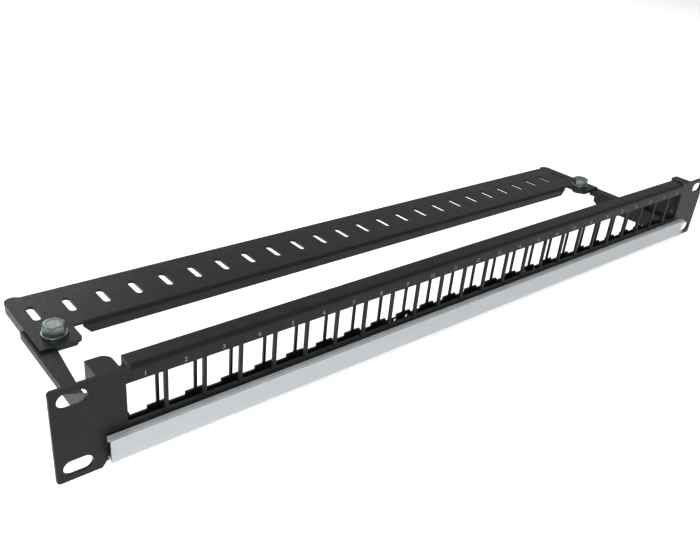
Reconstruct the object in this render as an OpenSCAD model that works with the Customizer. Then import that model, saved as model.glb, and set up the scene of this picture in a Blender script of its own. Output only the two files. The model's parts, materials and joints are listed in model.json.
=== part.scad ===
// Unloaded 24-port rack patch panel, one rack unit high, with a rear cable tray on two arms
// and a label strip under the ports. Millimetres. X runs along the panel, Y points to the
// back of the rack and Z is up. The origin is on the mounting plane, which is the back face
// of the two ears, at the centre of the four rack slots.

/* [Panel] */
// Overall width over both ears
panel_w = 482.6; // [480:0.1:484]
// Height of the ears, one rack unit less its clearance
panel_h = 43.7; // [43:0.1:44.4]
// Thickness of the folded steel sheet
sheet_t = 1.5; // [1.2:0.1:2]
// Outside radius of the sheet's folds
fold_r = 2.2; // [2.1:0.1:3]
// Depth of the top flange behind the mounting plane
flange_depth = 7.7; // [7:0.1:10]
// Length of the top flange and of the long fold in front of it
flange_len = 418.6; // [418:0.1:420]
// How far the lower edge is raised between the ears
relief_h = 2.6; // [2:0.1:3]
// Distance between the inner ends of the two lower ear corners
relief_len = 442.6; // [442.4:0.1:444]

/* [Ports] */
// Number of ports along the panel
port_count = 24; // [12:1:24]
// Distance from one port to the next
port_pitch = 17.7; // [17:0.1:17.7]
// Width of the bar between two ports
port_bar = 1.6; // [1.2:0.1:2.4]
// Lower edge of the ports above the panel's lower edge
port_bottom = 17.2; // [16.6:0.1:19]
// Upper edge of the ports above the panel's lower edge
port_top = 36.3; // [34:0.1:37]

/* [Rack slots] */
// Distance between the slots of one row
rack_x = 465.1; // [464:0.1:466]
// Distance between the two rows of slots
rack_z = 31.75; // [31.6:0.05:31.9]
// Length of a slot
slot_len = 12; // [10:0.1:13]
// Height of a slot
slot_h = 6.8; // [6.4:0.1:7.2]

/* [Port frame] */
// Thickness of the inner frame's sheet
frame_t = 1.2; // [1:0.1:1.4]
// Width of the bar between two latch windows
window_bar = 1.3; // [1:0.1:2]
// Lower edge of the latch windows above the panel's lower edge
window_bottom = 15.2; // [14.6:0.1:16.4]
// Upper edge of the latch windows above the panel's lower edge
window_top = 36.6; // [35:0.1:37]
// Width of the latch notch in a window's lower and upper edge
latch_w = 8; // [6:0.5:10]
// Depth of the latch notch
latch_h = 1.8; // [1:0.1:2.2]
// Upper face of the frame's lower flange above the panel's lower edge
ledge_top = 10.6; // [10:0.1:11]
// Diameter of the small round holes in the sill below the windows
sill_hole_d = 2.3; // [1.5:0.1:2.4]
// Length of the frame
frame_len = 422.4; // [421:0.1:422.6]

/* [Label strip] */
// Length of the clear label cover
label_len = 442; // [438:0.5:442]
// Height of the clear label cover
label_h = 12.8; // [12.4:0.1:13]
// How far the cover stands in front of the panel's face
label_proud = 4.5; // [4.4:0.1:5]
// Wall thickness of the clear cover
cover_t = 1; // [0.9:0.05:1.1]
// Thickness of the label card
card_t = 0.3; // [0.2:0.05:0.35]
// Number of rivets that hold the label rail and the port frame
rivet_count = 6; // [4:1:6]

/* [Cable arms] */
// Width of an arm at its foot
arm_w = 9.2; // [8.5:0.1:10]
// How much narrower the arm is behind the panel
arm_taper = 2.8; // [0:0.1:3]
// Distance over the outer faces of the two arms
arm_span = 445.2; // [445:0.1:446]
// Top face of the arm above the panel's lower edge
arm_top = 12.5; // [12:0.1:13.5]
// Height of the arm's side flanges with the web
arm_flange = 4; // [3.5:0.1:5]
// Depth of the upright end plate behind the mounting plane
upright_depth = 11.2; // [10:0.1:13]
// Reach of the gusset from the end plate along the arm
gusset = 24; // [12:0.5:26]
// Lower edge of the arm's inner flange above the panel's lower edge
inner_low = 0.6; // [0.3:0.1:4.5]
// Width of the tab at the top of the end plate
tab_w = 9.8; // [9:0.1:10]
// Width of the tray's lug over the arm's foot
foot_w = 22; // [21:0.1:22.5]
// Front edge of the tray's lug behind the mounting plane
foot_front = 69.5; // [66:0.5:70]
// Rear edge of the arm's foot behind the mounting plane
foot_back = 92; // [90:0.5:93]

/* [Cable tray] */
// Width over the tray's side flanges
tray_w = 442; // [440:0.1:442.5]
// Front face of the tray's lip behind the mounting plane
tray_front = 82.5; // [80:0.5:84]
// Rear face of the tray behind the mounting plane
tray_back = 122.8; // [118:0.1:126]
// Height of the tray's rear and side flanges with the plate
tray_flange = 5.5; // [4:0.1:5.5]
// Height of the tray's front lip with the plate
lip_h = 6.6; // [5:0.1:7]
// Length of the front lip along its upper edge
lip_len = 391; // [380:1:392]
// Number of tie slots
tie_count = 25; // [11:2:25]
// Width of a tie slot
tie_w = 4; // [3:0.1:4]
// Length of a tie slot
tie_len = 14.2; // [10:0.1:15]
// Centre of the tie slots behind the mounting plane
tie_y = 102.6; // [101:0.1:104]

/* [Fasteners] */
// Distance between the two tray bolts
bolt_span = 421; // [419:0.5:422]
// Position of the tray bolts behind the mounting plane
bolt_y = 80; // [79:0.1:82]
// Shank diameter of a tray bolt
bolt_d = 5.9; // [5.9:0.01:5.95]
// Width across the flats of the bolt's head
bolt_af = 10; // [9.5:0.5:10]
// Height of the bolt's head
bolt_head_h = 4.8; // [4:0.1:6]
// Outside diameter of the clinch nut pressed into the foot
nut_d = 9.4; // [9:0.1:10]
// Diameter of the washer under the head
washer_d = 12.4; // [12:0.1:13]
// Thickness of the washer under the head
washer_t = 1.2; // [1:0.1:1.6]
// Diameter of the studs that carry an arm
stud_d = 3; // [2.8:0.1:3]

/* [Hidden] */
$fn = 48;

base_z = -panel_h / 2;
top_z = panel_h / 2;
eps = 0.5;

black_steel = [0.18, 0.19, 0.18];
zinc = [0.68, 0.72, 0.70];
black_zinc = [0.22, 0.22, 0.24];
clear_plastic = [0.78, 0.82, 0.86, 0.5];
card_white = [0.92, 0.92, 0.90];

label_mid = relief_h + label_h / 2;
cover_top = relief_h + label_h;
plate_h = label_h - 2 * cover_t - 0.8;
web_h = plate_h - 3.2;
rail_front = -sheet_t - label_proud + cover_t + 0.6;
rail_plate_t = 1;
hook_h = 1.6;
hook_t = 1;
rivet_z = ledge_top - frame_t - 2.2;
rivet_r = 1.2;
rivet_head_r = 2.2;
rivet_head_h = 0.8;
rivet_gap = 4 * port_pitch;
sill_hole_x = [-58.8, -50.4, 50.4, 58.8];
sill_hole_z = ledge_top + 1.35;

lip_low = arm_top - arm_flange;
stud_x = arm_span / 2 - 5.4;
stud_r = stud_d / 2;
stud_rows = [21.5, 35];
stud_len = 7;
stud_press = 0.8;
through = 20;
tab_r = 4.2;
tab_front_h = 5;
plate_low = arm_top + 4;
foot_r = 2;
gusset_rise = 0.65 * gusset;
inner_end = 60;
inner_tip = 66.5;
inner_tip_z = 5;
small_nut_af = 5.5;
small_nut_h = 2.4;
small_washer_r = 3;
small_washer_t = 0.5;

tray_top = arm_top + sheet_t;
tray_r = 4.5;
nut_h = 2.6;
nut_collar_r = 4;
bore_r = 3.3;
nut_bore_r = 3;
taper_end = 38;
foot_inset = 2;
wall_gap = 9;

// A box from its lowest corner to its highest
module span(a, b) {
    translate(a)
        cube(b - a);
}

// Extrudes a profile drawn in Y and Z along X, centred on the middle plane
module along_x(len) {
    translate([-len / 2, 0, 0])
        rotate([90, 0, 90])
            linear_extrude(len)
                children();
}

// Draws its children on the other side of the middle plane
module other_side() {
    mirror([1, 0, 0])
        children();
}

// Row of n children at a pitch along X, centred
module row(n, pitch) {
    for (i = [0:n - 1])
        translate([(i - (n - 1) / 2) * pitch, 0, 0])
            children();
}

// Flat slot with round ends along X, cut through Y
module rack_slot() {
    straight = slot_len - slot_h;
    rotate([90, 0, 0])
        linear_extrude(4 * sheet_t, center = true) {
            square([straight, slot_h], center = true);
            for (s = [-1, 1])
                translate([s * straight / 2, 0])
                    circle(d = slot_h);
        }
}

// Ring sector from the angle of +Y round to +Z, for the outside of a fold
module fold(t, r) {
    intersection() {
        difference() {
            circle(r);
            circle(r - t);
        }
        translate([-r, 0])
            square(r);
    }
}

// Face and top flange of the panel, in Y and Z
module panel_profile() {
    translate([-sheet_t, relief_h])
        square([sheet_t, panel_h - fold_r - relief_h]);
    translate([fold_r - sheet_t, panel_h - fold_r])
        fold(sheet_t, fold_r);
    translate([fold_r - sheet_t, panel_h - sheet_t])
        square([flange_depth - fold_r + sheet_t, sheet_t]);
}

// Outline of one ear, in X and Z, from the fold's end outwards
module ear_outline() {
    corner = 1;
    inner = flange_len / 2;
    outer = panel_w / 2;
    low = relief_len / 2;
    polygon([
        [inner, panel_h], [outer - corner, panel_h], [outer, panel_h - corner],
        [outer, corner], [outer - corner, 0], [low + 2, 0], [low, relief_h], [inner, relief_h]
    ]);
}

module ear() {
    translate([0, 0, base_z])
        rotate([90, 0, 0])
            linear_extrude(sheet_t)
                ear_outline();
}

module front_panel() {
    color(black_steel)
        difference() {
            union() {
                translate([0, 0, base_z])
                    along_x(flange_len)
                        panel_profile();
                ear();
                other_side()
                    ear();
            }
            row(port_count, port_pitch)
                span([-(port_pitch - port_bar) / 2, -sheet_t - eps, base_z + port_bottom],
                     [(port_pitch - port_bar) / 2, eps, base_z + port_top]);
            row(2, rack_x)
                for (s = [-1, 1])
                    translate([0, -sheet_t / 2, s * rack_z / 2])
                        rack_slot();
            row(rivet_count, rivet_gap)
                rivet_hole();
            for (s = [-1, 1])
                for (z = stud_rows)
                    translate([s * stud_x, 0, base_z + z])
                        rotate([90, 0, 0])
                            cylinder(r = stud_r, h = 2 * stud_press, center = true);
        }
}

module rivet_hole() {
    translate([0, 0, base_z + rivet_z])
        rotate([90, 0, 0])
            cylinder(r = rivet_r, h = through, center = true);
}

// Top flange, rear wall, lower flange and front lip of the inner frame, in Y and Z
module frame_profile() {
    under = panel_h - sheet_t;
    front = fold_r - sheet_t + 0.1;
    translate([front, under - frame_t])
        square([flange_depth - front, frame_t]);
    translate([flange_depth - frame_t, ledge_top - frame_t])
        square([frame_t, under - ledge_top + frame_t]);
    translate([0, ledge_top - frame_t])
        square([flange_depth, frame_t]);
    translate([0, rivet_z - 2.8])
        square([frame_t, ledge_top - rivet_z + 2.8]);
}

module latch_window() {
    w = port_pitch - window_bar;
    y0 = flange_depth - frame_t - eps;
    y1 = flange_depth + eps;
    span([-w / 2, y0, base_z + window_bottom], [w / 2, y1, base_z + window_top]);
    span([-latch_w / 2, y0, base_z + window_bottom - latch_h],
         [latch_w / 2, y1, base_z + window_top + latch_h]);
}

// Room at the frame's upper corner where the panel's flange ends
module frame_end_relief() {
    span([flange_len / 2, -eps, base_z + window_top], [frame_len / 2 + eps, flange_depth + eps, top_z]);
}

module port_frame() {
    color(black_steel)
        difference() {
            translate([0, 0, base_z])
                along_x(frame_len)
                    frame_profile();
            row(port_count, port_pitch)
                latch_window();
            frame_end_relief();
            other_side()
                frame_end_relief();
            row(rivet_count, rivet_gap)
                rivet_hole();
            for (x = sill_hole_x)
                translate([x, flange_depth, base_z + sill_hole_z])
                    rotate([90, 0, 0])
                        cylinder(d = sill_hole_d, h = 4 * frame_t, center = true);
        }
}

// T-shaped rail that carries the label strip, in Y and Z
module rail_profile() {
    translate([rail_front, label_mid - plate_h / 2])
        square([rail_plate_t, plate_h]);
    translate([rail_front + rail_plate_t, label_mid - web_h / 2])
        square([-sheet_t - rail_front - rail_plate_t, web_h]);
}

module label_rail() {
    color(black_steel)
        difference() {
            translate([0, 0, base_z])
                along_x(label_len - 1)
                    rail_profile();
            row(rivet_count, rivet_gap) {
                rivet_hole();
                translate([0, rail_front + rivet_head_h, base_z + rivet_z])
                    rotate([90, 0, 0])
                        cylinder(r = rivet_head_r + 0.2, h = rivet_head_h + eps);
            }
        }
}

// C-shaped clear cover that hooks behind the rail, in Y and Z
module cover_profile() {
    front = -sheet_t - label_proud;
    back = rail_front + rail_plate_t + 0.3;
    translate([front, relief_h])
        square([cover_t, label_h]);
    for (z = [relief_h, cover_top - cover_t])
        translate([front, z])
            square([back + hook_t - front, cover_t]);
    for (z = [relief_h + cover_t, cover_top - cover_t - hook_h])
        translate([back, z])
            square([hook_t, hook_h]);
}

module label_cover() {
    color(clear_plastic)
        translate([0, 0, base_z])
            along_x(label_len)
                cover_profile();
}

module label_card() {
    card_h = plate_h + 0.2;
    card_back = rail_front - 0.1;
    color(card_white)
        span([-label_len / 2 + 0.5, card_back - card_t, base_z + label_mid - card_h / 2],
             [label_len / 2 - 0.5, card_back, base_z + label_mid + card_h / 2]);
}

// Rivet through the rail, the panel's face and the frame's lip
module rail_rivet() {
    translate([0, 0, base_z + rivet_z])
        rotate([-90, 0, 0]) {
            translate([0, 0, rail_front])
                cylinder(r = rivet_head_r, h = rivet_head_h);
            translate([0, 0, rail_front])
                cylinder(r = rivet_r, h = frame_t - rail_front + rivet_head_h);
            translate([0, 0, frame_t])
                cylinder(r = rivet_head_r - 0.3, h = rivet_head_h);
        }
}

module rail_rivets() {
    color(black_zinc)
        row(rivet_count, rivet_gap)
            rail_rivet();
}

// Two threaded studs pressed into the back of the face
module arm_studs() {
    for (z = stud_rows)
        translate([stud_x, -stud_press, base_z + z])
            rotate([-90, 0, 0])
                cylinder(r = stud_r, h = stud_len + stud_press);
}

module arm_studs_left() {
    color(black_zinc)
        other_side()
            arm_studs();
}

module arm_studs_right() {
    color(black_zinc)
        arm_studs();
}

// Plan of an arm's web with the foot under the tray's lug, in X and Y
module arm_plan() {
    outer = arm_span / 2;
    inner = outer - arm_w;
    foot_in = outer - foot_w + foot_inset;
    foot_y = foot_front + 0.2;
    r = foot_r;
    difference() {
        union() {
            polygon([[outer, 0], [outer, foot_back], [inner, foot_back], [inner, foot_front],
                     [inner + arm_taper, taper_end], [inner + arm_taper, 0]]);
            translate([foot_in, foot_y + r])
                square([outer - foot_in, foot_back - foot_y - r]);
            translate([foot_in + r, foot_y])
                square([outer - foot_in - r, r + eps]);
            translate([foot_in + r, foot_y + r])
                circle(r);
        }
        translate([bolt_span / 2, bolt_y])
            circle(nut_collar_r);
    }
}

// Inner flange that follows the arm's tapered edge, in X and Y
module arm_inner_flange_plan() {
    inner = arm_span / 2 - arm_w;
    y0 = wall_gap;
    y1 = foot_front + 1.5;
    polygon([[inner + arm_taper, y0], [inner + arm_taper, taper_end], [inner, foot_front], [inner, y1],
             [inner + sheet_t, y1], [inner + sheet_t, foot_front],
             [inner + arm_taper + sheet_t, taper_end], [inner + arm_taper + sheet_t, y0]]);
}

// Deep inner flange, with its lower corner cut away towards the foot
module arm_inner_flange() {
    outer = arm_span / 2;
    base_low = inner_low - eps;
    difference() {
        translate([0, 0, base_z + inner_low])
            linear_extrude(arm_top - inner_low)
                arm_inner_flange_plan();
        translate([outer - arm_w - eps, 0, base_z])
            rotate([90, 0, 90])
                linear_extrude(arm_w)
                    polygon([[inner_end, base_low], [inner_end, inner_low], [inner_tip, inner_tip_z],
                             [inner_tip, lip_low], [foot_back, lip_low], [foot_back, base_low]]);
    }
}

// Side view of the upright end plate with its gusset, in Y and Z
module end_plate_profile() {
    polygon([[0, lip_low], [upright_depth + gusset, lip_low], [upright_depth + gusset, arm_top],
             [upright_depth, arm_top + gusset_rise], [upright_depth, panel_h], [0, panel_h]]);
}

// Plan of the tab at the top of the end plate, in X and Y
module tab_plan() {
    inner = arm_span / 2 - tab_w;
    translate([inner, 0])
        square([tab_w, upright_depth - tab_r]);
    translate([inner + tab_r, 0])
        square([tab_w - tab_r, upright_depth]);
    translate([inner + tab_r, upright_depth - tab_r])
        circle(tab_r);
}

// Right arm: web, side flanges, upright end plate, front plate and top tab
module arm() {
    outer = arm_span / 2;
    plate_in = outer - tab_w;
    difference() {
        union() {
            translate([0, 0, base_z + arm_top - sheet_t])
                linear_extrude(sheet_t)
                    arm_plan();
            span([outer - sheet_t, 0, base_z + lip_low], [outer, foot_back, base_z + arm_top]);
            translate([outer - sheet_t, 0, base_z])
                rotate([90, 0, 90])
                    linear_extrude(sheet_t)
                        end_plate_profile();
            arm_inner_flange();
            span([plate_in, 0, base_z + plate_low], [outer, sheet_t, top_z]);
            translate([0, 0, top_z - sheet_t])
                linear_extrude(sheet_t)
                    tab_plan();
            span([plate_in - 1, 0, top_z - tab_front_h], [outer - eps, sheet_t, top_z]);
        }
        for (z = stud_rows)
            translate([stud_x, 0, base_z + z])
                rotate([90, 0, 0])
                    cylinder(r = stud_r + 0.2, h = through, center = true);
    }
}

module arm_left() {
    color(black_steel)
        other_side()
            arm();
}

module arm_right() {
    color(black_steel)
        arm();
}

module small_washers() {
    for (z = stud_rows)
        translate([stud_x, sheet_t, base_z + z])
            rotate([-90, 0, 0])
                difference() {
                    cylinder(r = small_washer_r, h = small_washer_t);
                    translate([0, 0, -eps])
                        cylinder(r = stud_r + 0.1, h = small_washer_t + 2 * eps);
                }
}

module small_nuts() {
    for (z = stud_rows)
        translate([stud_x, sheet_t + small_washer_t, base_z + z])
            rotate([-90, 0, 0])
                difference() {
                    cylinder(d = small_nut_af / cos(30), h = small_nut_h, $fn = 6);
                    translate([0, 0, -eps])
                        cylinder(r = stud_r, h = small_nut_h + 2 * eps);
                }
}

module arm_washers_left() {
    color(black_zinc)
        other_side()
            small_washers();
}

module arm_washers_right() {
    color(black_zinc)
        small_washers();
}

module arm_nuts_left() {
    color(black_zinc)
        other_side()
            small_nuts();
}

module arm_nuts_right() {
    color(black_zinc)
        small_nuts();
}

// Right half of the tray's plate, in X and Y
module tray_half_plan() {
    side = tray_w / 2;
    bolt_tab_in = arm_span / 2 - foot_w;
    tab_front = foot_front;
    r = 3;
    square_y = tray_front + 1;
    translate([0, tray_front + fold_r])
        square([lip_len / 2, tray_back - tray_front - fold_r - fold_r]);
    translate([lip_len / 2 - eps, square_y])
        square([side - lip_len / 2 + eps, tray_back - tray_r - square_y]);
    translate([0, tray_back - tray_r - eps])
        square([side - tray_r, tray_r + eps - fold_r]);
    translate([side - tray_r, tray_back - tray_r])
        circle(tray_r);
    translate([bolt_tab_in, tab_front + r])
        square([side - bolt_tab_in, square_y - tab_front - r + eps]);
    translate([bolt_tab_in + r, tab_front])
        square([side - bolt_tab_in - r, r + eps]);
    translate([bolt_tab_in + r, tab_front + r])
        circle(r);
}

// Tie slot with round ends along Y
module tie_slot() {
    straight = tie_len - tie_w;
    translate([0, tie_y]) {
        square([tie_w, straight], center = true);
        for (s = [-1, 1])
            translate([0, s * straight / 2])
                circle(d = tie_w);
    }
}

// Folded edge with a straight flange below it, in Y and Z from the fold's outer corner
module edge_profile(h) {
    translate([fold_r, -fold_r])
        fold(sheet_t, fold_r);
    translate([0, -h])
        square([sheet_t, h - fold_r]);
}

module cable_tray() {
    side = tray_w / 2;
    color(black_steel)
        difference() {
            union() {
                translate([0, 0, base_z + tray_top - sheet_t])
                    linear_extrude(sheet_t)
                        difference() {
                            union() {
                                tray_half_plan();
                                other_side()
                                    tray_half_plan();
                            }
                            row(tie_count, port_pitch)
                                tie_slot();
                            for (s = [-1, 1])
                                translate([s * bolt_span / 2, bolt_y])
                                    circle(bore_r);
                        }
                translate([0, tray_front, base_z + tray_top])
                    along_x(lip_len)
                        edge_profile(lip_h);
                translate([0, tray_back, base_z + tray_top])
                    mirror([0, 1, 0])
                        along_x(tray_w - 2 * tray_r)
                            edge_profile(tray_flange);
                for (s = [0, 1])
                    mirror([s, 0, 0])
                        span([side - sheet_t, foot_back + 1, base_z + tray_top - tray_flange],
                             [side, tray_back - tray_r, base_z + tray_top]);
            }
            for (s = [0, 1])
                mirror([s, 0, 0])
                    lip_chamfer();
        }
}

// Wedge that slopes the lower end of the front lip
module lip_chamfer() {
    end = lip_len / 2;
    low = base_z + tray_top - lip_h;
    translate([0, tray_front + sheet_t + eps, 0])
        rotate([90, 0, 0])
            linear_extrude(sheet_t + 2 * eps)
                polygon([[end - 3.5, low - eps], [end + eps, low - eps], [end + eps, low + 4],
                         [end, low + 4], [end - 3.5, low]]);
}

module at_bolt(side) {
    translate([side * bolt_span / 2, bolt_y, base_z + tray_top])
        children();
}

module tray_washer() {
    difference() {
        cylinder(d = washer_d, h = washer_t);
        translate([0, 0, -eps])
            cylinder(r = bore_r, h = washer_t + 2 * eps);
    }
}

// Hexagon bolt whose head rests on the washer
module tray_bolt() {
    shank = washer_t + 2 * sheet_t + nut_h + 0.3;
    translate([0, 0, washer_t])
        intersection() {
            cylinder(d = bolt_af / cos(30), h = bolt_head_h, $fn = 6);
            rotate_extrude()
                polygon([[0, 0], [bolt_af / 2 + 1, 0], [bolt_af / 2 + 1, bolt_head_h - 0.9],
                         [bolt_af / 2 - 0.4, bolt_head_h], [0, bolt_head_h]]);
        }
    translate([0, 0, washer_t - shank])
        cylinder(d = bolt_d, h = shank + eps);
}

// Clinch nut: its collar is pressed into the foot and its body lies below it
module tray_nut() {
    collar = sheet_t - 0.1;
    translate([0, 0, -2 * sheet_t - nut_h])
        difference() {
            union() {
                cylinder(d = nut_d, h = nut_h);
                cylinder(r = nut_collar_r, h = nut_h + collar);
            }
            translate([0, 0, -eps])
                cylinder(r = nut_bore_r, h = nut_h + collar + 2 * eps);
        }
}

module tray_washer_left() {
    color(zinc)
        at_bolt(-1)
            tray_washer();
}

module tray_washer_right() {
    color(zinc)
        at_bolt(1)
            tray_washer();
}

module tray_bolt_left() {
    color(zinc)
        at_bolt(-1)
            tray_bolt();
}

module tray_bolt_right() {
    color(zinc)
        at_bolt(1)
            tray_bolt();
}

module tray_nut_left() {
    color(black_zinc)
        at_bolt(-1)
            tray_nut();
}

module tray_nut_right() {
    color(black_zinc)
        at_bolt(1)
            tray_nut();
}

front_panel();
port_frame();
label_rail();
label_card();
label_cover();
rail_rivets();
arm_studs_left();
arm_studs_right();
arm_left();
arm_right();
arm_washers_left();
arm_washers_right();
arm_nuts_left();
arm_nuts_right();
cable_tray();
tray_washer_left();
tray_washer_right();
tray_bolt_left();
tray_bolt_right();
tray_nut_left();
tray_nut_right();
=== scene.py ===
"""Looks of the rack patch panel: finishes, rounded edges, threads, port numbers and the studio."""
import json
import math
import bmesh
import bpy
from mathutils import Matrix, Vector

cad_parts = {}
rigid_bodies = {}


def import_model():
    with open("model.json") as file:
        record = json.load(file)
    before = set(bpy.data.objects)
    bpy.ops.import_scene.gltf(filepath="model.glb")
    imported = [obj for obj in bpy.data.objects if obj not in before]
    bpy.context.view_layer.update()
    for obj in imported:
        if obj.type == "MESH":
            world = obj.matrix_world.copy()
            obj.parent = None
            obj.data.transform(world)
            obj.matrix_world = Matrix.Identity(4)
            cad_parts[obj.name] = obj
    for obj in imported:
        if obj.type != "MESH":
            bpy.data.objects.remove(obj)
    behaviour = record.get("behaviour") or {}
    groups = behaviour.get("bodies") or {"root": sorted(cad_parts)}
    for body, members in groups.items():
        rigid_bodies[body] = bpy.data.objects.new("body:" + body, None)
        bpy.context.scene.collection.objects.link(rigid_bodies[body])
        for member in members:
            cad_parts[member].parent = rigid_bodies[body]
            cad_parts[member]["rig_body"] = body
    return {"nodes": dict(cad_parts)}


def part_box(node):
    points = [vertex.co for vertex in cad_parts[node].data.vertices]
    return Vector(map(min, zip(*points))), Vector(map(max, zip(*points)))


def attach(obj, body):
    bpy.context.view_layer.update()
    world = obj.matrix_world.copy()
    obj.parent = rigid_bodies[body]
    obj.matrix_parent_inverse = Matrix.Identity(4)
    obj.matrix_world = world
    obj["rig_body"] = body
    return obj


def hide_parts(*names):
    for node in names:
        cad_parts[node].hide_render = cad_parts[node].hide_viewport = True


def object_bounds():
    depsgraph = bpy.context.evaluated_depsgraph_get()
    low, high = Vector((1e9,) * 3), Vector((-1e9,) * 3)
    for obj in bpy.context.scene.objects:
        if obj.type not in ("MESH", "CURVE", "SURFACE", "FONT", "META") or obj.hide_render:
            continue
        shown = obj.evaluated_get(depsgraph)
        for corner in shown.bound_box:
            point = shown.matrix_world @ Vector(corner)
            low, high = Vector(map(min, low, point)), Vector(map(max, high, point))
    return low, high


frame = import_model()
cad_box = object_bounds()
NODES = frame["nodes"]
MM = 0.001


# ---------------------------------------------------------------- materials

def new_material(name):
    """A new material with its node tree and Principled shader."""
    mat = bpy.data.materials.new(name)
    mat.use_nodes = True
    return mat, mat.node_tree, mat.node_tree.nodes["Principled BSDF"]


def noise(tree, vector, scale, detail, rough=0.5):
    """Noise with a scale in cells per metre."""
    node = tree.nodes.new("ShaderNodeTexNoise")
    node.inputs["Scale"].default_value = scale
    node.inputs["Detail"].default_value = detail
    node.inputs["Roughness"].default_value = rough
    tree.links.new(vector, node.inputs["Vector"])
    return node.outputs["Fac"]


def ramp(tree, fac, *stops):
    """Colour ramp between two stops, each a position and a colour."""
    node = tree.nodes.new("ShaderNodeValToRGB")
    for element, (position, colour) in zip(node.color_ramp.elements, stops):
        element.position = position
        element.color = (*colour, 1.0)
    tree.links.new(fac, node.inputs["Fac"])
    return node.outputs["Color"]


def grey(v):
    return (v, v, v)


def mapped(tree, stretch=(1, 1, 1)):
    """Object coordinates, stretched."""
    coords = tree.nodes.new("ShaderNodeTexCoord")
    mapping = tree.nodes.new("ShaderNodeMapping")
    mapping.inputs["Scale"].default_value = stretch
    tree.links.new(coords.outputs["Object"], mapping.inputs["Vector"])
    return mapping.outputs["Vector"]


def bump(tree, shader, height, strength, distance):
    node = tree.nodes.new("ShaderNodeBump")
    node.inputs["Strength"].default_value = strength
    node.inputs["Distance"].default_value = distance
    tree.links.new(height, node.inputs["Height"])
    tree.links.new(node.outputs["Normal"], shader.inputs["Normal"])


def powder_coat(name, tone, gloss):
    """Semi-matt black powder coat: fine orange peel, faint mottling and slightly uneven sheen."""
    mat, tree, shader = new_material(name)
    where = mapped(tree)
    dark = (tone * 0.82, tone * 0.86, tone * 0.85)
    light = (tone * 1.22, tone * 1.26, tone * 1.22)
    mottling = noise(tree, where, scale=90, detail=3)
    colour = ramp(tree, mottling, (0.3, dark), (0.7, light))
    tree.links.new(colour, shader.inputs["Base Color"])
    unevenness = noise(tree, where, scale=420, detail=2)
    sheen = ramp(tree, unevenness, (0.3, grey(gloss - 0.05)), (0.75, grey(gloss + 0.07)))
    tree.links.new(sheen, shader.inputs["Roughness"])
    peel = noise(tree, where, scale=1500, detail=3, rough=0.6)
    bump(tree, shader, peel, strength=0.35, distance=0.12 * MM)
    shader.inputs["Specular IOR Level"].default_value = 0.24
    return mat


def zinc(name, tint, rough):
    """Zinc plate: soft metal with cloudy passivation and fine tumbling marks."""
    mat, tree, shader = new_material(name)
    where = mapped(tree)
    dull = tuple(c * 0.72 for c in tint)
    cloud = noise(tree, where, scale=260, detail=4)
    tree.links.new(ramp(tree, cloud, (0.3, dull), (0.68, tint)), shader.inputs["Base Color"])
    grain = noise(tree, where, scale=700, detail=3)
    patches = ramp(tree, grain, (0.25, grey(rough - 0.07)), (0.8, grey(rough + 0.16)))
    tree.links.new(patches, shader.inputs["Roughness"])
    marks = noise(tree, where, scale=2800, detail=2)
    bump(tree, shader, marks, strength=0.12, distance=0.05 * MM)
    shader.inputs["Metallic"].default_value = 1.0
    return mat


def paper(name):
    """Matt white card with a faint fibre grain along its length."""
    mat, tree, shader = new_material(name)
    fibre = noise(tree, mapped(tree, (0.25, 1, 1)), scale=1300, detail=4)
    colour = ramp(tree, fibre, (0.3, (0.58, 0.585, 0.575)), (0.7, (0.65, 0.655, 0.645)))
    tree.links.new(colour, shader.inputs["Base Color"])
    bump(tree, shader, fibre, strength=0.15, distance=0.03 * MM)
    shader.inputs["Roughness"].default_value = 0.75
    return mat


def clear_strip(name):
    """Clear extruded plastic: faint blue body, die lines along its length and a soft gloss."""
    mat, tree, shader = new_material(name)
    lines = noise(tree, mapped(tree, (0.004, 1, 1)), scale=1800, detail=2)
    colour = ramp(tree, lines, (0.3, (0.54, 0.57, 0.60)), (0.7, (0.64, 0.67, 0.69)))
    tree.links.new(colour, shader.inputs["Base Color"])
    bump(tree, shader, lines, strength=0.25, distance=0.04 * MM)
    shader.inputs["Roughness"].default_value = 0.16
    shader.inputs["Alpha"].default_value = 0.34
    shader.inputs["IOR"].default_value = 1.46
    return mat


def ink(name):
    """Screen-printed pale ink, a little thin over the coat's texture."""
    mat, tree, shader = new_material(name)
    thin = noise(tree, mapped(tree), scale=2600, detail=2)
    colour = ramp(tree, thin, (0.3, grey(0.16)), (0.6, grey(0.27)))
    tree.links.new(colour, shader.inputs["Base Color"])
    shader.inputs["Roughness"].default_value = 0.6
    return mat


def floor_finish(name):
    """Near-white paper sweep with a very soft mottle."""
    mat, tree, shader = new_material(name)
    soft = noise(tree, mapped(tree), scale=3, detail=2)
    colour = ramp(tree, soft, (0.3, grey(0.90)), (0.7, grey(0.93)))
    tree.links.new(colour, shader.inputs["Base Color"])
    shader.inputs["Roughness"].default_value = 0.9
    return mat


# Tone and gloss of each powder coat
COAT_LOOKS = {
    "panel_coat": (0.006, 0.46),
    "frame_coat": (0.005, 0.5),
    "rail_coat": (0.006, 0.46),
    "arm_coat": (0.006, 0.46),
    "tray_coat": (0.007, 0.44),
}
COATS = {name: powder_coat(name, tone, gloss) for name, (tone, gloss) in COAT_LOOKS.items()}
BOLT_ZINC = zinc("bolt_zinc", (0.25, 0.29, 0.265), 0.34)
WASHER_ZINC = zinc("washer_zinc", (0.42, 0.49, 0.52), 0.34)
BLACK_ZINC = zinc("black_zinc", (0.07, 0.07, 0.075), 0.38)
CARD = paper("label_card_paper")
CLEAR = clear_strip("clear_cover")
INK = ink("port_ink")


# ---------------------------------------------------------------- mesh helpers

SAME_POINT = 0.002 * MM
FLAT_WITHIN = math.radians(0.6)
ROUNDED_ABOVE = math.radians(40)


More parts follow.
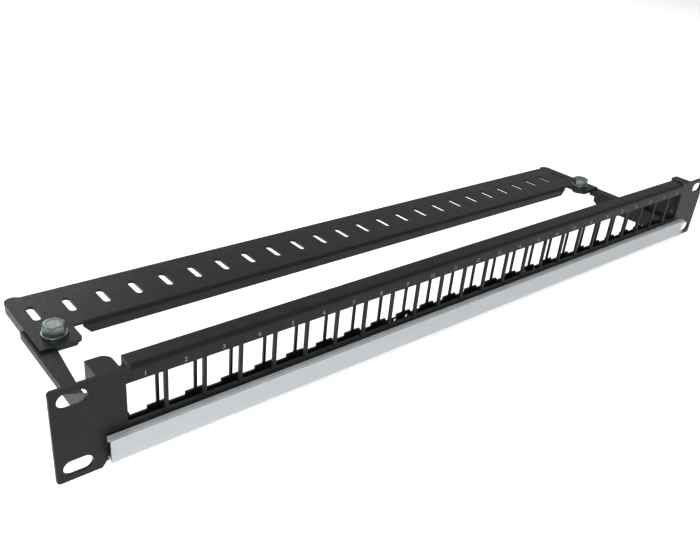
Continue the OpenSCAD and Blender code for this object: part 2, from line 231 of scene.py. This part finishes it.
def add_object(name, mesh, mat):
    mesh.materials.clear()
    mesh.materials.append(mat)
    obj = bpy.data.objects.new(name, mesh)
    bpy.context.scene.collection.objects.link(obj)
    return obj


def finish_piece(obj, node):
    """Lets a piece stand for a CAD node, on that node's body."""
    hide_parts(node)
    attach(obj, NODES[node]["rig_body"])


def smooth(mesh, sharp_above):
    """Smooth shading, except across edges steeper than so many degrees."""
    for poly in mesh.polygons:
        poly.use_smooth = True
    mesh.set_sharp_from_angle(angle=math.radians(sharp_above))


def clean_copy(node):
    """The node's mesh with its triangles merged back into flat faces."""
    mesh = NODES[node].data.copy()
    work = bmesh.new()
    work.from_mesh(mesh)
    bmesh.ops.remove_doubles(work, verts=work.verts, dist=SAME_POINT)
    bmesh.ops.dissolve_limit(work, angle_limit=FLAT_WITHIN, verts=work.verts, edges=work.edges)
    bmesh.ops.recalc_face_normals(work, faces=work.faces)
    work.to_mesh(mesh)
    work.free()
    if "custom_normal" in mesh.attributes:
        mesh.attributes.remove(mesh.attributes["custom_normal"])
    return mesh


def rounded_copy(node, mat, width):
    """A copy of a CAD node with its cut edges rounded, as coated or moulded edges are."""
    mesh = clean_copy(node)
    smooth(mesh, 32)
    obj = add_object(node + "_finished", mesh, mat)
    bevel = obj.modifiers.new("edges", "BEVEL")
    bevel.width = width
    bevel.segments = 2
    bevel.limit_method = "ANGLE"
    bevel.angle_limit = ROUNDED_ABOVE
    bevel.harden_normals = True
    finish_piece(obj, node)


# ---------------------------------------------------------------- sheet metal and label

COATED_EDGE = 0.16 * MM
COVER_EDGE = 0.12 * MM
CARD_EDGE = 0.04 * MM
SHEETS = {
    "front_panel": "panel_coat", "port_frame": "frame_coat", "label_rail": "rail_coat",
    "arm_left": "arm_coat", "arm_right": "arm_coat", "cable_tray": "tray_coat",
}
for sheet, coat in SHEETS.items():
    rounded_copy(sheet, COATS[coat], COATED_EDGE)
rounded_copy("label_cover", CLEAR, COVER_EDGE)
rounded_copy("label_card", CARD, CARD_EDGE)


# ---------------------------------------------------------------- fasteners: shapes

THREAD_STEPS = 8          # levels in one turn of a thread
THREAD_SIDES = 36
THREAD_DEPTH = 0.45       # of the pitch
CREST_ROUNDING = 1.2      # exponent of the profile; 1 is a sharp V
LEAD_TAPER = 0.8          # fall of the radius over the length of a lead
LEAD_FADE = 0.6           # part of the thread's depth lost at the end of a lead
HEX_LAND = 0.97           # round land inside the chamfer, as a part of the flats
CHAMFER_SLOPE = math.tan(math.radians(30))
CHAMFER_RIM = 0.02 * MM
ROUND_EDGE_CORNER = 0.3   # inset of a rounded edge's middle point, as a part of its radius


def tube(rings, segments=48, closed=False):
    """Mesh of stacked rings, each a function from an angle to a point."""
    work = bmesh.new()
    angles = [2 * math.pi * k / segments for k in range(segments)]
    loops = [[work.verts.new(ring(a)) for a in angles] for ring in rings]

    def band(low, high):
        for k in range(segments):
            n = (k + 1) % segments
            work.faces.new((low[k], low[n], high[n], high[k]))

    for low, high in zip(loops, loops[1:]):
        band(low, high)
    if closed:
        band(loops[-1], loops[0])
    else:
        work.faces.new(list(reversed(loops[0])))
        work.faces.new(loops[-1])
    bmesh.ops.recalc_face_normals(work, faces=work.faces)
    return work


def round_ring(r, z):
    return lambda a: Vector((r * math.cos(a), r * math.sin(a), z))


def hex_ring(flats, z, falls=0):
    """A hexagon with corners on the X axis.

    Its corners fall (1) or rise (-1) beyond the round land, as a turned chamfer cuts them.
    """
    land = flats / 2 * HEX_LAND

    def point(a):
        off_centre = (a % (math.pi / 3)) - math.pi / 6
        r = flats / 2 / math.cos(off_centre)
        drop = max(0.0, r - land) * CHAMFER_SLOPE
        return Vector((r * math.cos(a), r * math.sin(a), z - falls * drop))
    return point


def thread_ring(r_out, depth, pitch, z):
    """One level of a screw thread with a rounded V profile."""
    def point(a):
        turn = (z / pitch + a / (2 * math.pi)) % 1.0
        r = r_out - depth * abs(2 * turn - 1) ** CREST_ROUNDING
        return Vector((r * math.cos(a), r * math.sin(a), z))
    return point


def threaded_rod(r, length, pitch, lead):
    """Closed threaded rod from z = 0 up, with a short tapered lead at its far end."""
    steps = int(length / pitch * THREAD_STEPS)
    rings = []
    for k in range(steps + 1):
        z = length * k / steps
        into = max(0.0, z - (length - lead))
        depth = pitch * THREAD_DEPTH * (1 - into / lead * LEAD_FADE)
        rings.append(thread_ring(r - into * LEAD_TAPER, depth, pitch, z))
    return tube(rings, THREAD_SIDES)


def chamfered_top(flats, height):
    land = flats / 2 * HEX_LAND
    return [hex_ring(flats, height - CHAMFER_RIM, 1), round_ring(land * 0.985, height)]


def bolt_head(flats, height):
    """Hexagon head from z = 0 to height: round bearing face, chamfered and dished top."""
    land = flats / 2 * HEX_LAND
    face = 0.25 * MM
    base = [round_ring(land * 0.96, 0), round_ring(land * 0.98, face),
            hex_ring(flats, face + 0.01 * MM)]
    dish = [round_ring(flats * 0.36, height), round_ring(flats * 0.33, height - 0.22 * MM)]
    return tube(base + chamfered_top(flats, height) + dish, 72)


def hex_nut(flats, height):
    """Hexagon nut from z = 0 to height, chamfered outside and in its bore at both ends."""
    land = flats / 2 * HEX_LAND
    mouth_r, bore_r, mouth = 1.85 * MM, 1.55 * MM, 0.3 * MM
    base = [round_ring(land * 0.985, 0), hex_ring(flats, CHAMFER_RIM, -1)]
    bore = [round_ring(mouth_r, height), round_ring(bore_r, height - mouth),
            round_ring(bore_r, mouth), round_ring(mouth_r, 0)]
    return tube(base + chamfered_top(flats, height) + bore, 72, closed=True)


def ring_mesh(r_in, r_out, z0, z1, edge, segments=64):
    """Flat ring with rounded edges."""
    corner = edge * ROUND_EDGE_CORNER
    return tube([
        round_ring(r_out - edge, z0), round_ring(r_out - corner, z0 + corner),
        round_ring(r_out, z0 + edge), round_ring(r_out, z1 - edge),
        round_ring(r_out - corner, z1 - corner), round_ring(r_out - edge, z1),
        round_ring(r_in + edge, z1), round_ring(r_in, z1 - edge),
        round_ring(r_in, z0 + edge), round_ring(r_in + edge, z0),
    ], segments, closed=True)


def knurled_ring(r, z):
    """A circle with 24 shallow teeth."""
    teeth, tooth = 24, 0.08 * MM

    def point(a):
        local = r + tooth * math.cos(teeth * a)
        return Vector((local * math.cos(a), local * math.sin(a), z))
    return point


def rivet(head_r, length):
    """Rivet along z: domed head at 0 and a formed head at its far end."""
    shank_r, dome, grip, formed = 1.2 * MM, 0.5 * MM, 0.8 * MM, 0.4 * MM
    return tube([
        round_ring(head_r * 0.35, 0), round_ring(head_r * 0.8, 0.18 * MM),
        round_ring(head_r, dome), round_ring(head_r * 0.98, grip),
        round_ring(shank_r, grip), round_ring(shank_r, length - grip),
        round_ring(head_r * 0.86, length - grip), round_ring(head_r * 0.84, length - formed),
        round_ring(head_r * 0.5, length),
    ], 40)


# ---------------------------------------------------------------- fasteners: pieces

BOLT_THREAD_R = 2.94 * MM
BOLT_PITCH = 1.0 * MM
BOLT_LEAD = 0.6 * MM
TRAY_WASHER_BORE_R = 3.3 * MM
CLINCH_BORE_R = 3.02 * MM
CLINCH_COLLAR_R = 3.9 * MM
CLINCH_COLLAR_HEIGHT = 1.4 * MM
COLLAR_OVERLAP = 0.1 * MM
STUD_PITCH = 0.5 * MM
STUD_LEAD = 0.4 * MM
STUD_FIT = 0.99
STUD_WASHER_BORE_R = 1.65 * MM
STUD_NUT_FLATS = 5.5 * MM
RIVETS = 6


def join(parts):
    """One mesh from several bmesh parts, each with its matrix."""
    whole = bmesh.new()
    for work, matrix in parts:
        piece = bpy.data.meshes.new("part")
        work.to_mesh(piece)
        work.free()
        piece.transform(matrix)
        whole.from_mesh(piece)
        bpy.data.meshes.remove(piece)
    mesh = bpy.data.meshes.new("joined")
    whole.to_mesh(mesh)
    whole.free()
    return mesh


def finish_fastener(node, parts, sharp_above, mat):
    """Joins the parts into one piece that stands for the node."""
    mesh = join(parts)
    smooth(mesh, sharp_above)
    finish_piece(add_object(node + "_finished", mesh, mat), node)


def along_y(x, y, z):
    """Local +Z points to the back of the panel."""
    return Matrix.Translation((x, y, z)) @ Matrix.Rotation(math.radians(-90), 4, "X")


def axis_box(node):
    """Middle, low and high corner of a CAD node's box."""
    low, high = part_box(node)
    return (low + high) / 2, low, high


def tray_bolt(side):
    """Hexagon bolt: head on the washer and a threaded shank down through the tray."""
    node = "tray_bolt_" + side
    mid, low, high = axis_box(node)
    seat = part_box("tray_washer_" + side)[1].z
    on_seat = Matrix.Translation((mid.x, mid.y, seat))
    parts = [
        (bolt_head(high.y - low.y, high.z - seat), on_seat),
        (threaded_rod(BOLT_THREAD_R, seat - low.z, BOLT_PITCH, BOLT_LEAD),
         on_seat @ Matrix.Rotation(math.pi, 4, "X")),
    ]
    finish_fastener(node, parts, 28, BOLT_ZINC)


def tray_washer(side):
    node = "tray_washer_" + side
    mid, low, high = axis_box(node)
    work = ring_mesh(TRAY_WASHER_BORE_R, (high.x - low.x) / 2, low.z, high.z, 0.22 * MM)
    parts = [(work, Matrix.Translation((mid.x, mid.y, 0)))]
    finish_fastener(node, parts, 40, WASHER_ZINC)


def clinch_nut(side):
    """Clinch nut with a knurled collar above its round body."""
    node = "tray_nut_" + side
    mid, low, high = axis_box(node)
    body_top = high.z - CLINCH_COLLAR_HEIGHT
    body = ring_mesh(CLINCH_BORE_R, (high.x - low.x) / 2, low.z, body_top, 0.3 * MM)
    collar_low = body_top - COLLAR_OVERLAP
    collar = tube([
        knurled_ring(CLINCH_COLLAR_R, collar_low), knurled_ring(CLINCH_COLLAR_R, high.z),
        round_ring(CLINCH_BORE_R, high.z), round_ring(CLINCH_BORE_R, collar_low),
    ], 96, closed=True)
    axis = Matrix.Translation((mid.x, mid.y, 0))
    finish_fastener(node, [(body, axis), (collar, axis)], 35, BLACK_ZINC)


def stud_axes(side):
    """X and Z of each stud's axis, and the studs' radius."""
    mid, low, high = axis_box("arm_studs_" + side)
    r = (high.x - low.x) / 2
    return [(mid.x, z) for z in (low.z + r, high.z - r)], r


def studs(side):
    node = "arm_studs_" + side
    axes, r = stud_axes(side)
    low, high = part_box(node)
    parts = [(threaded_rod(r * STUD_FIT, high.y - low.y, STUD_PITCH, STUD_LEAD),
              along_y(x, low.y, z)) for x, z in axes]
    finish_fastener(node, parts, 30, BLACK_ZINC)


def small_washers(side):
    node = "arm_washers_" + side
    low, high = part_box(node)
    r_out = (high.x - low.x) / 2
    parts = [(ring_mesh(STUD_WASHER_BORE_R, r_out, 0, high.y - low.y, 0.08 * MM, 40),
              along_y(x, low.y, z)) for x, z in stud_axes(side)[0]]
    finish_fastener(node, parts, 40, BLACK_ZINC)


def small_nuts(side):
    node = "arm_nuts_" + side
    low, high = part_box(node)
    parts = [(hex_nut(STUD_NUT_FLATS, high.y - low.y), along_y(x, low.y, z))
             for x, z in stud_axes(side)[0]]
    finish_fastener(node, parts, 28, BLACK_ZINC)


def rail_rivets():
    """The row of rivets through the label rail and the frame."""
    node = "rail_rivets"
    mid, low, high = axis_box(node)
    head_r = (high.z - low.z) / 2
    span = (high.x - low.x) - 2 * head_r
    parts = []
    for k in range(RIVETS):
        x = mid.x - span / 2 + span * k / (RIVETS - 1)
        parts.append((rivet(head_r, high.y - low.y), along_y(x, low.y, mid.z)))
    finish_fastener(node, parts, 40, BLACK_ZINC)


for side in ("left", "right"):
    tray_bolt(side)
    tray_washer(side)
    clinch_nut(side)
    studs(side)
    small_washers(side)
    small_nuts(side)
rail_rivets()


# ---------------------------------------------------------------- port numbers

PORTS = 24
PORT_PITCH = 17.7 * MM
DIGIT_SIZE = 3.1 * MM
DIGITS_ABOVE_EDGE = 38.4 * MM
INK_HALF = 0.012 * MM     # half of the ink's thickness
INK_PROUD = 0.008 * MM    # the ink's middle in front of the panel's face
SAME_INK_POINT = 0.001 * MM


def digit_mesh(number, matrix):
    """A number as a closed solid mesh of thin ink."""
    curve = bpy.data.curves.new("digit", "FONT")
    curve.body = str(number)
    curve.size = DIGIT_SIZE
    curve.align_x = "CENTER"
    curve.align_y = "CENTER"
    curve.extrude = INK_HALF
    text = bpy.data.objects.new("digit", curve)
    bpy.context.scene.collection.objects.link(text)
    bpy.context.view_layer.update()
    graph = bpy.context.evaluated_depsgraph_get()
    mesh = bpy.data.meshes.new_from_object(text.evaluated_get(graph))
    bpy.data.objects.remove(text)
    bpy.data.curves.remove(curve)
    mesh.transform(matrix)
    digit = bmesh.new()
    digit.from_mesh(mesh)
    bmesh.ops.remove_doubles(digit, verts=digit.verts, dist=SAME_INK_POINT)
    bmesh.ops.triangulate(digit, faces=digit.faces)
    bmesh.ops.recalc_face_normals(digit, faces=digit.faces)
    digit.to_mesh(mesh)
    digit.free()
    return mesh


def port_numbers():
    """Numbers 1 to 24 printed above the ports, as thin raised ink."""
    face_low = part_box("front_panel")[0]
    y = face_low.y - INK_PROUD
    z = face_low.z + DIGITS_ABOVE_EDGE
    upright = Matrix.Rotation(math.pi / 2, 4, "X")
    whole = bmesh.new()
    for k in range(PORTS):
        x = (k - (PORTS - 1) / 2) * PORT_PITCH
        mesh = digit_mesh(k + 1, Matrix.Translation((x, y, z)) @ upright)
        whole.from_mesh(mesh)
        bpy.data.meshes.remove(mesh)
    mesh = bpy.data.meshes.new("port_numbers")
    whole.to_mesh(mesh)
    whole.free()
    obj = add_object("port_numbers", mesh, INK)
    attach(obj, "panel")


port_numbers()


# ---------------------------------------------------------------- studio

FLOOR_DROP = 0.30         # metres below the object's lowest point
FLOOR_HALF = 6.0
WORLD_STRENGTH = 0.45
SENSOR_WIDTH = 36
LENS = 38.769
CAMERA_AT = Vector((-308.33, -228.49, 195.20)) * MM
YAW, PITCH, ROLL = (math.radians(v) for v in (42.309, 27.716, 5.915))


def area_light(name, at, aim, size, power):
    """Square light that faces its aim."""
    data = bpy.data.lights.new(name, "AREA")
    data.shape = "SQUARE"
    data.size = size
    data.energy = power
    obj = bpy.data.objects.new(name, data)
    obj.location = at
    obj.rotation_mode = "QUATERNION"
    obj.rotation_quaternion = (Vector(aim) - Vector(at)).to_track_quat("-Z", "Y")
    bpy.context.scene.collection.objects.link(obj)
    return obj


def studio():
    """White floor well below the object, white surroundings and three lights."""
    z = cad_box[0].z - FLOOR_DROP
    mesh = bpy.data.meshes.new("floor")
    turns = ((-1, -1), (1, -1), (1, 1), (-1, 1))
    corners = [(sx * FLOOR_HALF, sy * FLOOR_HALF, z) for sx, sy in turns]
    mesh.from_pydata(corners, [], [(0, 1, 2, 3)])
    add_object("floor", mesh, floor_finish("floor"))
    world = bpy.data.worlds.new("studio")
    world.use_nodes = True
    background = world.node_tree.nodes["Background"]
    background.inputs["Color"].default_value = (1, 1, 1, 1)
    background.inputs["Strength"].default_value = WORLD_STRENGTH
    bpy.context.scene.world = world
    bpy.context.scene.view_settings.view_transform = "Standard"
    overhead = area_light("overhead", at=(0.4, 2.4, 3.4), aim=(0.4, 2.0, 0), size=7.0, power=330.0)
    overhead.visible_glossy = False
    area_light("rim", at=(-0.12, 0.95, 0.55), aim=(-0.18, 0.1, 0), size=0.45, power=1.6)
    area_light("key", at=(-0.55, -0.50, 0.32), aim=(-0.15, 0.0, 0), size=0.35, power=3.4)


def camera():
    """Main view from the front left, above the panel and slightly rolled."""
    flat = math.cos(PITCH)
    forward = Vector((math.sin(YAW) * flat, math.cos(YAW) * flat, -math.sin(PITCH)))
    right = Vector((math.cos(YAW), -math.sin(YAW), 0))
    up = right.cross(forward)
    right_rolled = right * math.cos(ROLL) + up * math.sin(ROLL)
    up_rolled = -right * math.sin(ROLL) + up * math.cos(ROLL)
    data = bpy.data.cameras.new("camera")
    data.sensor_width = SENSOR_WIDTH
    data.lens = LENS
    data.clip_start = 0.01
    data.clip_end = 50
    obj = bpy.data.objects.new("camera", data)
    turn = Matrix((right_rolled, up_rolled, -forward)).transposed().to_4x4()
    obj.matrix_world = Matrix.Translation(CAMERA_AT) @ turn
    bpy.context.scene.collection.objects.link(obj)
    bpy.context.scene.camera = obj


studio()
camera()
